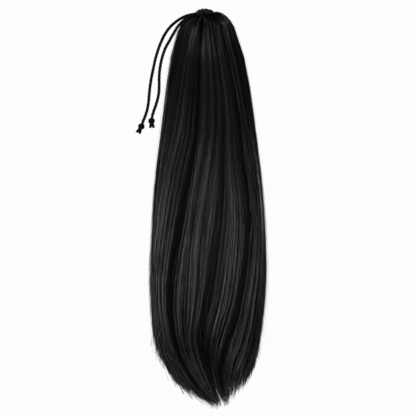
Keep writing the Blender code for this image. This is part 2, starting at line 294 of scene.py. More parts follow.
def cord_material(name, shades):
    """Twisted polyester yarn: dull, with fine filaments that catch a little light."""
    finish, tree, shader = new_material(name)
    filaments, _ = mottle(tree, shader, shades, 1400.0, 2.0)
    bump = node(
        tree,
        "ShaderNodeBump",
        inputs={"Strength": 0.35, "Distance": 0.0002},
        links=[("Height", filaments, "Fac")],
    )
    tree.links.new(bump.outputs["Normal"], shader.inputs["Normal"])
    shader.inputs["Roughness"].default_value = 0.65
    shader.inputs["Specular IOR Level"].default_value = 0.15
    return finish


# The yarn is black, with a painted highlight in grey on the crown of each ply
POLYESTER_CORD = cord_material("twisted_polyester_cord", ("#020203", "#0a0a0c"))
PLY_CROWNS = cord_material("ply_crown_painted_highlight_yarn", ("#2a2a2d", "#48484c"))
YARNS = (POLYESTER_CORD, PLY_CROWNS)
cord_outer, outer_path, outer_length = twisted_cord("drawstring_end_outer", OUTER_ROUTE, YARNS)
cord_inner, inner_path, inner_length = twisted_cord("drawstring_end_inner", INNER_ROUTE, YARNS)
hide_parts("cord_outer")
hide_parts("cord_inner")


# Knots: a tight overhand knot at the end of each free end, melted a little so that it holds, with the
# yarn's two short tails below it. The same polyester as the cord, fused into one small round body.
KNOT_TURN = 0.74 * MM
KNOT_STEPS = 60
KNOT_BULGE = 1.15
KNOT_YARN = 1.6 * MM
KNOT_VOXEL = 0.2 * MM
LINK_RADIUS = 0.56 * CORD_DIAMETER
TAIL_BEND = 0.4 * MM
# The body, from its foot up: height above the middle in turns, then radius in millimetres
KNOT_BODY = [(-4.6, 2.2), (-3.4, 3.4), (-1.3, 3.9), (1.3, 3.9), (3.4, 3.2), (4.6, 2.0)]
# A tail: share of its length, then radius in millimetres
KNOT_TAIL = [(0.15, 1.75), (0.4, 1.7), (0.6, 1.6), (0.8, 1.6), (1.0, 1.7)]
# Each knot's middle, and the ends of its two tails from there
KNOTS = {
    "outer": ((-0.0751, -0.0032, -0.1393), [(-0.0057, -0.0003, -0.0070), (-0.0020, 0.0003, -0.0087)]),
    "inner": ((-0.0629, -0.0062, -0.1329), [(-0.0017, -0.0003, -0.0082), (0.0026, 0.0003, -0.0082)]),
}


def evaluated(source):
    """The object's mesh with its modifiers applied, and the object itself removed."""
    graph = bpy.context.evaluated_depsgraph_get()
    graph.update()
    mesh = bpy.data.meshes.new_from_object(source.evaluated_get(graph))
    mesh.transform(source.matrix_world)
    bpy.data.objects.remove(source, do_unlink=True)
    return mesh


def yarn_tube(points, radii, closed=False):
    """The mesh of a round tube through points, with a radius at each."""
    curve = bpy.data.curves.new("yarn", "CURVE")
    curve.dimensions = "3D"
    curve.bevel_depth = 1.0
    curve.bevel_resolution = 3
    curve.use_fill_caps = not closed
    spline = curve.splines.new("POLY")
    spline.points.add(len(points) - 1)
    spline.use_cyclic_u = closed
    for spot, point, radius in zip(spline.points, points, radii):
        spot.co = (*point, 1.0)
        spot.radius = radius
    tube = bpy.data.objects.new("yarn", curve)
    bpy.context.collection.objects.link(tube)
    return evaluated(tube)


def knot_piece(name, centre, tails, cord_end, lean):
    """A trefoil of yarn, leaning by an angle, fused with its body, its link to the cord and its tails."""
    centre = Vector(centre)
    c, d = math.cos(lean), math.sin(lean)
    turns = []
    for k in range(KNOT_STEPS):
        t = 2 * math.pi * k / KNOT_STEPS
        x = (math.sin(t) + 2 * math.sin(2 * t)) * KNOT_TURN
        z = (math.cos(t) - 2 * math.cos(2 * t)) * KNOT_TURN
        y = -math.sin(3 * t) * KNOT_TURN * KNOT_BULGE
        turns.append(centre + Vector((x * c - z * d, y, x * d + z * c)))
    shapes = [yarn_tube(turns, [KNOT_YARN] * len(turns), closed=True)]
    body = [centre + Vector((0, 0, height)) * KNOT_TURN for height, _ in KNOT_BODY]
    shapes.append(yarn_tube(body, [radius * MM for _, radius in KNOT_BODY]))
    shapes.append(yarn_tube([Vector(cord_end), centre], [LINK_RADIUS] * 2))
    for tip in tails:
        tip = Vector(tip)
        path = [centre + tip * s + Vector((0, TAIL_BEND * math.sin(4 * s), 0)) for s, _ in KNOT_TAIL]
        shapes.append(yarn_tube(path, [radius * MM for _, radius in KNOT_TAIL]))
    bm = bmesh.new()
    for shape in shapes:
        bm.from_mesh(shape)
    joined = bpy.data.meshes.new(name)
    bm.to_mesh(joined)
    bm.free()
    rough = bpy.data.objects.new(name, joined)
    bpy.context.collection.objects.link(rough)
    fuse = rough.modifiers.new("fuse", "REMESH")
    fuse.mode = "VOXEL"
    fuse.voxel_size = KNOT_VOXEL
    soften = rough.modifiers.new("soften", "SMOOTH")
    soften.factor = 0.5
    soften.iterations = 2
    mesh = evaluated(rough)
    mesh.shade_smooth()
    return add_piece(name, mesh, POLYESTER_CORD)


knot_outer = knot_piece("knot_outer_tied", *KNOTS["outer"], OUTER_ROUTE[-1], 0.5)
knot_inner = knot_piece("knot_inner_tied", *KNOTS["inner"], INNER_ROUTE[-1], -0.2)
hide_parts("knot_outer")
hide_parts("knot_inner")


# Casing: the cap's edge folded over the cord and stitched, in black stretch satin. Drawn shut it bunches
# into the small ruched knob at the top, with creases that run over its rim.
casing_low, casing_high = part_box("drawstring_casing")
CASING_RADIUS = (casing_high[0] - casing_low[0]) / 2
CASING_HEIGHT = casing_high[2] - casing_low[2]
CASING_WALL = 1.0 * MM
CASING_PROUD = 0.9 * MM
CASING_COLUMNS = 240
# The channel for the cord: its middle's radius, and how far its two walls stand from there
CHANNEL_MIDDLE = 7.14 * MM
CHANNEL_REACH = 2.3 * MM
# The rim turns over between the walls above this drop, and is this high
RIM_FOOT = 2.8 * MM
RIM_HEIGHT = 2.4 * MM
# Ruches and creases run over the rim, and large puffs swell the belly of the outer wall
RUCHES = 10
RUCHE_DEPTH = 0.9 * MM
RUCHE_DROP = 1.1 * MM
CREASES = 40
CREASE_DEPTH = 0.7 * MM
CREASE_DROP = 0.6 * MM
PUFFS = 6
PUFF_DEPTH = 1.7 * MM
# How far down the ruches' drop and the shoulders' drop reach, the shoulders' drop at the left and right,
# and where and how far the outer wall's foot is tucked in
RIM_REACH = 4.2 * MM
SHOULDER_REACH = 7.0 * MM
SHOULDER_DROP = 1.3 * MM
TUCK_START = 5.4 * MM
TUCK_REACH = 3.0 * MM
TUCK_DEPTH = 2.2 * MM
# The slot at the left, where the cord's ends come out
SLOT_HALF_WIDTH = 4.9 * MM
SLOT_TOP = 3.2 * MM
SLOT_FOOT = 8.6 * MM


def satin_material():
    """Black stretch satin: a soft sheen along the folds, fine puckers and a finer weave."""
    finish, tree, shader = new_material("black_stretch_satin")
    _, place = mottle(tree, shader, ("#040405", "#0f0f12"), 260.0, 3.0)
    threads = node(
        tree,
        "ShaderNodeTexWave",
        settings={"wave_type": "BANDS", "bands_direction": "Z"},
        inputs={"Scale": 700.0, "Distortion": 3.0, "Detail": 1.0},
        links=[("Vector", place, "Object")],
    )
    puckers = node(
        tree,
        "ShaderNodeTexNoise",
        inputs={"Scale": 420.0, "Detail": 2.0, "Distortion": 0.6},
        links=[("Vector", place, "Object")],
    )
    gathered = node(
        tree,
        "ShaderNodeBump",
        inputs={"Strength": 1.0, "Distance": 0.0014},
        links=[("Height", puckers, "Fac")],
    )
    bump = node(
        tree,
        "ShaderNodeBump",
        inputs={"Strength": 0.3, "Distance": 0.00015},
        links=[("Height", threads, "Fac"), ("Normal", gathered, "Normal")],
    )
    tree.links.new(bump.outputs["Normal"], shader.inputs["Normal"])
    shader.inputs["Roughness"].default_value = 0.30
    shader.inputs["Specular IOR Level"].default_value = 0.42
    shader.inputs["Sheen Weight"].default_value = 0.1
    shader.inputs["Sheen Roughness"].default_value = 0.4
    return finish


def build_casing():
    rng = np.random.default_rng(11)
    angle = 2 * math.pi * np.arange(CASING_COLUMNS) / CASING_COLUMNS
    ruche = 0.5 + 0.5 * np.cos(RUCHES * angle + 0.6 * np.sin(3 * angle))
    puff = np.abs(np.cos(PUFFS / 2 * (angle + 0.05))) ** 0.6
    crease = np.zeros_like(angle)
    for at, deep, wide in zip(
        rng.uniform(0, 2 * math.pi, CREASES),
        rng.uniform(0.3, 1.0, CREASES),
        rng.uniform(0.03, 0.07, CREASES),
    ):
        apart = np.angle(np.exp(1j * (angle - at)))
        crease += deep * np.exp(-((apart / wide) ** 2))

    # The profile goes from the foot of the inner wall, side -1, over the rim to the outer wall's, side 1
    foot = CASING_HEIGHT - CASING_WALL / 2
    turns = np.linspace(0, math.pi, 17)[1:-1]
    over = RIM_HEIGHT * (1 - np.sin(turns)) + CASING_WALL / 2 - CASING_PROUD
    inner, outer = np.linspace(foot, RIM_FOOT, 8), np.linspace(RIM_FOOT, foot, 10)
    drops = np.concatenate([inner, over, outer])
    sides = np.concatenate([np.full(len(inner), -1.0), -np.cos(turns), np.full(len(outer), 1.0)])
    outside = sides > 0
    rim = 1 - np.clip(drops / RIM_REACH, 0, 1)
    shoulder = 1 - np.clip(drops / SHOULDER_REACH, 0, 1)
    belly = np.sin(math.pi * np.clip(drops / foot, 0, 1) ** 1.2) * outside
    tuck = np.clip((drops - TUCK_START) / TUCK_REACH, 0, 1) * outside
    lean = 0.05 * np.sin(sides * 2.0)
    points, faces = [], []
    rows = len(drops)
    for j in range(CASING_COLUMNS):
        out = RUCHE_DEPTH * (ruche[j] - 0.4) - CREASE_DEPTH * crease[j]
        radius = CHANNEL_MIDDLE + sides * CHANNEL_REACH + out * np.where(outside, sides, 0.6 * sides)
        radius += PUFF_DEPTH * (puff[j] - 0.5) * belly - TUCK_DEPTH * tuck
        radius = np.clip(radius, 0, CASING_RADIUS)
        fall = drops + (RUCHE_DROP * (1 - ruche[j]) + CREASE_DROP * crease[j]) * rim
        fall += SHOULDER_DROP * math.cos(angle[j]) ** 2 * shoulder
        turned = angle[j] + lean
        points.append(np.column_stack([radius * np.cos(turned), radius * np.sin(turned), -fall]))
    for j in range(CASING_COLUMNS):
        at_left = math.cos(angle[j]) < 0 and abs(CASING_RADIUS * math.sin(angle[j])) < SLOT_HALF_WIDTH
        for i in range(rows - 1):
            if at_left and sides[i] == 1.0 and SLOT_TOP < drops[i] < SLOT_FOOT:
                continue
            here, beside = j * rows + i, (j + 1) % CASING_COLUMNS * rows + i
            faces.append((here, here + 1, beside + 1, beside))
    mesh = bpy.data.meshes.new("casing")
    mesh.from_pydata(np.concatenate(points).tolist(), [], faces)
    shell = bpy.data.objects.new("casing", mesh)
    bpy.context.collection.objects.link(shell)
    wall = shell.modifiers.new("wall", "SOLIDIFY")
    wall.thickness = CASING_WALL
    wall.offset = 0.0
    cloth = evaluated(shell)
    bm = bmesh.new()
    bm.from_mesh(cloth)
    bmesh.ops.recalc_face_normals(bm, faces=bm.faces)
    bm.to_mesh(cloth)
    bm.free()
    cloth.shade_smooth()
    casing = add_piece("ruched_casing", cloth, STRETCH_SATIN)
    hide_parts("drawstring_casing")


STRETCH_SATIN = satin_material()
build_casing()

# The loop of the drawstring inside the casing, seen only through the slot
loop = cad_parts["drawstring_loop"]
loop.data.materials.clear()
loop.data.materials.append(POLYESTER_CORD)


# Cap: the pouch that the hair is sewn to, in black stretch net, gathered into the casing. It shows only
# down through the mouth.
cap_low, cap_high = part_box("cap")
CAP_HALF_WIDTH = (cap_high[0] - cap_low[0]) / 2
CAP_HALF_DEPTH = (cap_high[1] - cap_low[1]) / 2
CAP_HEIGHT = cap_high[2] - cap_low[2]
CAP_NECK = 7.74 * MM
CAP_WALL = 1.2 * MM
CAP_COLUMNS = 90
CAP_GATHERS = 15
# Drop below the neck as a share of the height, then the shares of the neck's and the belly's size
CAP_OUTLINE = [
    (0.00, 1.00, 0.00),
    (0.10, 1.00, 0.00),
    (0.19, 0.78, 0.34),
    (0.30, 0.42, 0.69),
    (0.43, 0.12, 0.92),
    (0.58, 0.00, 1.00),
    (0.73, 0.00, 0.94),
    (0.86, 0.00, 0.74),
    (0.95, 0.00, 0.44),
    (0.99, 0.00, 0.18),
]


def net_material():
    """Knitted nylon net: 1.5 mm holes between matt threads, shown by colour and bump."""
    finish, tree, shader = new_material("knitted_nylon_net")
    place = node(tree, "ShaderNodeTexCoord")
    holes = node(
        tree,
        "ShaderNodeTexVoronoi",
        settings={"feature": "DISTANCE_TO_EDGE"},
        inputs={"Scale": 650.0},
        links=[("Vector", place, "Object")],
    )
    tone = node(tree, "ShaderNodeValToRGB", links=[("Fac", holes, "Distance")])
    tone.color_ramp.elements[0].color = linear("#202022")
    tone.color_ramp.elements[1].color = linear("#060607")
    tone.color_ramp.elements[1].position = 0.25
    tree.links.new(tone.outputs["Color"], shader.inputs["Base Color"])
    bump = node(
        tree,
        "ShaderNodeBump",
        settings={"invert": True},
        inputs={"Strength": 0.5, "Distance": 0.0004},
        links=[("Height", holes, "Distance")],
    )
    tree.links.new(bump.outputs["Normal"], shader.inputs["Normal"])
    shader.inputs["Roughness"].default_value = 0.8
    return finish


def build_cap():
    table = np.array(CAP_OUTLINE)
    shares = np.linspace(0, 0.99, 34)
    neck, belly = hermite(table[:, 0], table[:, 1:], shares).T
    angle = 2 * math.pi * np.arange(CAP_COLUMNS) / CAP_COLUMNS
    gather = 0.3 * MM * np.cos(CAP_GATHERS * angle)[None, :] * np.clip(neck, 0, 1)[:, None]
    across = (neck * CAP_NECK + belly * CAP_HALF_WIDTH)[:, None] + gather
    deep = (neck * CAP_NECK + belly * CAP_HALF_DEPTH)[:, None] + gather
    z = np.repeat((cap_high[2] - shares * CAP_HEIGHT)[:, None], CAP_COLUMNS, axis=1)
    points = np.stack([across * np.cos(angle), deep * np.sin(angle), z], -1).reshape(-1, 3)
    bottom = len(points)
    faces = []
    for ring in range(0, bottom, CAP_COLUMNS):
        below = ring + CAP_COLUMNS
        for j in range(CAP_COLUMNS):
            k = (j + 1) % CAP_COLUMNS
            closing = (ring + j, bottom, ring + k)
            faces.append((ring + j, below + j, below + k, ring + k) if below < bottom else closing)
    points = np.concatenate([points, [(0, 0, cap_low[2])]])
    mesh = bpy.data.meshes.new("cap")
    mesh.from_pydata(points.tolist(), [], faces)
    shell = bpy.data.objects.new("cap", mesh)
    bpy.context.collection.objects.link(shell)
    wall = shell.modifiers.new("wall", "SOLIDIFY")
    wall.thickness = CAP_WALL
    wall.offset = -1.0
    net = evaluated(shell)
    net.shade_smooth()
    cap = add_piece("gathered_cap", net, net_material())
    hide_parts("cap")


build_cap()


# Hair: long straight black synthetic fibre, sewn in wefts round the cap. It bends over at the crown, hangs
# in fine flat locks that sweep to the left, and ends like a soft brush, with loose wisps at its left edge.
hair_low, hair_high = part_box("hair_fall")
HAIR_LENGTH = -hair_low[2]
HALF_WIDTH = (hair_high[0] - hair_low[0]) / 2
HALF_DEPTH = (hair_high[1] - hair_low[1]) / 2
ROOT_RADIUS = CASING_RADIUS - 0.6 * MM
# The core lies this deep under the hair's outer form, and these gaps clear of the casing and the cap
CORE_DEPTH = 4.5 * MM
COLLAR_GAP = 0.3 * MM
CAP_GAP = 0.7 * MM
# Seeds of the patterns that all the layers of a side share
RELIEF_SEED, ROOT_SEED, BEND_SEED, SHADE_SEED, GATHER_SEED, TUFT_SEED = 5, 9, 50, 60, 80, 90

# The crown, from the collar to the fall: drop at the left and at the right as shares of the length, how
# much lower it is at the front and back, then how far the hair has come sideways and frontways
CROWN = np.array([
    (0.0180, 0.0118, 0.0035, 0.000, 0.000),
    (0.0166, 0.0092, 0.0070, 0.082, 0.130),
    (0.0167, 0.0090, 0.0100, 0.208, 0.320),
    (0.0202, 0.0122, 0.0118, 0.408, 0.550),
    (0.0288, 0.0198, 0.0106, 0.630, 0.750),
    (0.0405, 0.0304, 0.0070, 0.832, 0.895),
    (0.0555, 0.0440, 0.0000, 1.000, 1.000),
])

# The fall: drop as a share of the length, then the middle, the half width and the half depth as shares
FALL = np.array([
    (0.040, 0.038, 0.456, 0.680),
    (0.068, 0.041, 0.535, 0.740),
    (0.098, 0.043, 0.596, 0.790),
    (0.139, 0.052, 0.652, 0.835),
    (0.181, 0.057, 0.699, 0.870),
    (0.222, 0.062, 0.738, 0.895),
    (0.322, 0.065, 0.826, 0.940),
    (0.443, 0.067, 0.922, 0.980),
    (0.565, 0.074, 0.974, 1.000),
    (0.687, 0.070, 0.989, 0.980),
    (0.748, 0.066, 0.964, 0.945),
    (0.810, 0.054, 0.922, 0.880),
    (0.853, 0.050, 0.878, 0.810),
    (0.891, 0.064, 0.825, 0.700),
    (0.932, 0.092, 0.746, 0.560),
    (1.000, 0.135, 0.600, 0.300),
])

# The hem: how low the fibres reach at places across the hair, with a small parting right of the middle
HEM = np.array([
    (-1.00, 0.903),
    (-0.965, 0.918),
    (-0.936, 0.932),
    (-0.862, 0.945),
    (-0.786, 0.962),
    (-0.622, 0.981),
    (-0.406, 1.000),
    (-0.174, 1.007),
    (0.12, 1.010),
    (0.376, 1.006),
    (0.455, 1.001),
    (0.60, 0.986),
    (0.75, 0.968),
    (0.885, 0.945),
    (0.94, 0.918),
    (1.00, 0.885),
])

# The sweep of the locks: where the fibres that pass the places in the first row at a third of the length
# lie at other drops, from -1 at the left edge to 1 at the right
SWEEP_PLACES = np.array((-1.0, -0.66, -0.27, -0.17, 0.034, 0.367, 0.473, 0.66, 0.81, 1.0))
SWEEP_DROPS = np.array((0.053, 0.129, 0.231, 0.322, 0.409, 0.485, 0.612, 0.738, 0.840, 0.916, 0.979, 1.0))
SWEEP = np.array([
    (-1.0, -0.374, -0.164, -0.110, 0.010, 0.255, 0.325, 0.500, 0.640, 1.0),
    (-1.0, -0.500, -0.220, -0.130, 0.050, 0.320, 0.390, 0.560, 0.680, 1.0),
    (-1.0, -0.584, -0.249, -0.156, 0.064, 0.400, 0.457, 0.630, 0.746, 1.0),
    (-1.0, -0.660, -0.270, -0.170, 0.034, 0.367, 0.473, 0.660, 0.810, 1.0),
    (-1.0, -0.777, -0.381, -0.258, -0.076, 0.308, 0.470, 0.654, 0.894, 1.0),
    (-1.0, -0.830, -0.490, -0.330, -0.180, 0.275, 0.520, 0.710, 0.900, 1.0),
    (-1.0, -0.917, -0.630, -0.480, -0.298, 0.130, 0.500, 0.650, 0.870, 1.0),
    (-1.0, -0.950, -0.737, -0.596, -0.314, -0.005, 0.410, 0.540, 0.780, 1.0),
    (-1.0, -0.880, -0.660, -0.540, -0.400, -0.135, 0.230, 0.390, 0.720, 1.0),
    (-0.98, -0.740, -0.510, -0.400, -0.270, -0.030, 0.100, 0.200, 0.540, 0.95),
    (-0.85, -0.360, -0.170, -0.100, -0.020, 0.140, 0.220, 0.310, 0.460, 0.80),
    (-0.72, -0.080, 0.080, 0.120, 0.170, 0.270, 0.350, 0.390, 0.450, 0.70),
])

# Ridges and hollows between the main locks of the front: place at a third of the length, width, height
LOCKS = [
    (-0.86, 0.07, 1.4),
    (-0.66, 0.10, 2.2),
    (-0.57, 0.04, -1.0),
    (-0.48, 0.08, 1.0),
    (-0.27, 0.06, -2.4),
    (-0.17, 0.07, 1.8),
    (0.034, 0.09, 2.6),
    (0.13, 0.03, -1.0),
    (0.20, 0.08, 1.4),
    (0.367, 0.04, -2.0),
    (0.45, 0.07, 2.4),
    (0.56, 0.04, 1.0),
    (0.66, 0.05, -1.8),
    (0.74, 0.06, 1.2),
    (0.84, 0.05, 1.8),
]


def fibre_material(name, shades, roughness, gloss):
    """Synthetic hair fibre: near black, with the soft silky gloss of drawn polymer."""
    finish, tree, shader = new_material(name)
    mottle(tree, shader, shades, 90.0, 2.0)
    shader.inputs["Roughness"].default_value = roughness
    shader.inputs["Specular IOR Level"].default_value = gloss
    return finish


def hair_surface(turn, way):
    """Points of the hair's outer form. Turn is the angle round it, from the right; way runs from 0 at the
    collar through 1 at the crown's edge to 2 at the end of the longest hair."""
    toward_right = 0.5 + 0.5 * np.cos(turn)
    crown = hermite(np.linspace(0, 1, len(CROWN)), CROWN, np.clip(way, 0, 1))
    left, right, lower, sideways, frontways = np.moveaxis(crown, -1, 0)
    edge = CROWN[-1, 0] + (CROWN[-1, 1] - CROWN[-1, 0]) * toward_right
    drop = edge + (1 - edge) * np.clip(way - 1, 0, 1.02)
    middle, half, deep = np.moveaxis(hermite(FALL[:, 0], FALL[:, 1:], drop), -1, 0)
    x = (middle + half * np.cos(turn)) * HALF_WIDTH
    y = deep * np.sin(turn) * HALF_DEPTH
    on_crown = way < 1
    drop = np.where(on_crown, left + (right - left) * toward_right + lower * np.sin(turn) ** 2, drop)
    root_x, root_y = ROOT_RADIUS * np.cos(turn), ROOT_RADIUS * np.sin(turn)
    x = np.where(on_crown, root_x + (x - root_x) * sideways, x)
    y = np.where(on_crown, root_y + (y - root_y) * frontways, y)
    return np.stack([x, y, -drop * HAIR_LENGTH], -1), drop


def outward(turn, way):
    """Unit vectors straight out of the hair's outer form."""
    step = 0.01
    across = hair_surface(turn + step, way)[0] - hair_surface(turn - step, way)[0]
    down = hair_surface(turn, way + step)[0] - hair_surface(turn, np.maximum(way - step, 0))[0]
    out = np.cross(down, across)
    return out / np.maximum(np.linalg.norm(out, axis=-1, keepdims=True), 1e-12)


def sweep_grid():
    """The sweep's rows as a fine grid of drops by places, evened out across so that no lock has an edge."""
    places = np.linspace(-1, 1, 401)
    rows = hermite(SWEEP_DROPS, SWEEP, np.linspace(0, 1, 201))
    rows = np.array([np.interp(places, SWEEP_PLACES, row) for row in rows])
    kernel = np.exp(-((np.arange(-24, 25) / 12) ** 2))
    kernel /= kernel.sum()
    before = 2 * rows[:, :1] - rows[:, 24:0:-1]
    after = 2 * rows[:, -1:] - rows[:, -2:-26:-1]
    padded = np.concatenate([before, rows, after], 1)
    return np.array([np.convolve(row, kernel, mode="valid") for row in padded])


SWEEP_GRID = sweep_grid()


def swept(place, drop):
    """Where a fibre lies across the hair at a drop, from its place at a third of the length."""
    column = np.clip((place + 1) * 200, 0, 399.999)
    row = np.clip(drop * 200, 0, 199.999)
    i, j = row.astype(int), column.astype(int)
    down, right = row - i, column - j
    upper = SWEEP_GRID[i, j] * (1 - right) + SWEEP_GRID[i, j + 1] * right
    lower = SWEEP_GRID[i + 1, j] * (1 - right) + SWEEP_GRID[i + 1, j + 1] * right
    return upper * (1 - down) + lower * down


def ripples(rng, turn, way, waves, count, drift):
    """Gentle random waves round the hair, that drift a little along it; about -1 to 1."""
    total = np.zeros(np.broadcast(turn, way).shape)
    for frequency, phase, slide in zip(
        rng.uniform(*waves, count), rng.uniform(0, 2 * math.pi, count), rng.uniform(-drift, drift, count)
    ):
        total += np.sin(frequency * turn + phase + slide * way)
    return total * math.sqrt(2 / count) / 1.6


def hem_below(place):
    """The drop at which a fibre meets the hem."""
    drops = np.linspace(0.84, 1.012, 70)
    across = swept(place[:, None], np.minimum(drops, 1.0)[None, :])
    past = drops[None, :] > np.interp(across, HEM[:, 0], HEM[:, 1])
    return drops[np.where(past.any(1), past.argmax(1), -1)]


def bell(values, middle, spread):
    """1 at the middle, falling off smoothly on both sides."""
    return np.exp(-(((values - middle) / spread) ** 2))


def relief(start, way, drop, side):
    """How far the locks stand out of the hair's outer form, in metres."""
    waves = np.random.default_rng(RELIEF_SEED + side)
    finest = 0.30 - 0.14 * np.clip(way - 1, 0, 1)
    height = 0.42 * ripples(waves, start, way, (14, 34), 7, 1.2)
    height = height + 0.15 * ripples(waves, start, way, (40, 90), 9, 2.2)
    height = height + finest * ripples(waves, start, way, (120, 240), 9, 3.0)
    height = height * np.clip(way - 0.3, 0.1, 1)

    # The wefts' roots stand out most half way over the crown, where creases fan out at the front
    roots = np.random.default_rng(ROOT_SEED + side)
    height = height + 1.5 * ripples(roots, start, 0.0, (9, 26), 9, 0.0) * bell(way, 0.45, 0.4)
    if side < 0:
        place = np.cos(start)
        fan = 2.6 * bell(place, -0.28, 0.13) + 2.2 * bell(place, 0.46, 0.07)
        height = height - fan * bell(way, 0.55, 0.35)
        for spot, spread, tall in LOCKS:
            lock = 0.75 * tall * bell(place, spot, spread)
            height = height + lock * np.clip(0.25 + 0.75 * (drop - 0.05) / 0.38, 0.25, 1)
    return height * MM


def strand_mesh(name, points, out, widths):
    """Closed fibres from arrays of fibres by rows: each is a flat ribbon with a low ridge on its face."""
    count, rows = points.shape[:2]
    tangent = np.gradient(points, axis=1)
    tangent /= np.maximum(np.linalg.norm(tangent, axis=-1, keepdims=True), 1e-12)
    side = np.cross(tangent, out)
    side /= np.maximum(np.linalg.norm(side, axis=-1, keepdims=True), 1e-12)
    up = np.cross(side, tangent)
    section = ((-0.5, -0.12), (0.5, -0.12), (0, 0.14))
    verts = np.stack([points + widths[..., None] * (side * s + up * u) for s, u in section], 2)
    strand = np.arange(count)[:, None, None] * rows * 3
    row = np.arange(rows - 1)[None, :, None] * 3
    corner = np.arange(3)[None, None, :]
    here, following = strand + row + corner, strand + row + (corner + 1) % 3
    quads = np.stack([here, following, following + 3, here + 3], -1)
    first = np.arange(count)[:, None] * rows * 3
    caps = np.concatenate([first + np.array([[2, 1, 0]]), first + (rows - 1) * 3 + np.array([[0, 1, 2]])])
    mesh = mesh_from(name, verts.reshape(-1, 3), quads, caps)
    ends = np.empty(len(mesh.edges) * 2, np.int32)
    mesh.edges.foreach_get("vertices", ends)
    ends = ends.reshape(-1, 2)
    along = np.abs(ends[:, 0] - ends[:, 1]) == 3
    mesh.edges.foreach_set("use_edge_sharp", along & (ends[:, 0] % 3 < 2))
    return mesh


def fibre_ends(rng, place, tuft, short):
    """The drops at which the fibres end, and which of them are thinned. Most end above the hem, more so
    in tufts, in a small parting and at the left edge, where only a few long ones are left."""
    count = len(place)
    leftmost = np.clip(-place, 0, 1)
    uneven = rng.uniform(0, 1, count) ** (0.5 + 0.3 * leftmost**2)
    end = hem_below(place) + 0.006 - short * (1 + 1.6 * leftmost**6) * uneven
    parting = 0.020 * bell(place, 0.40, 0.06)
    end -= 0.010 * np.clip(tuft, 0, 1.5) * (0.3 + leftmost**2) + parting
    thinned = rng.uniform(0, 1, count) > 0.12
    end -= thinned * rng.uniform(0.010, 0.045, count) * np.clip((leftmost - 0.5) / 0.3, 0, 1)
    end -= rng.uniform(0, 0.06, count) * np.clip((leftmost - 0.85) / 0.12, 0, 1)
    return end, thinned


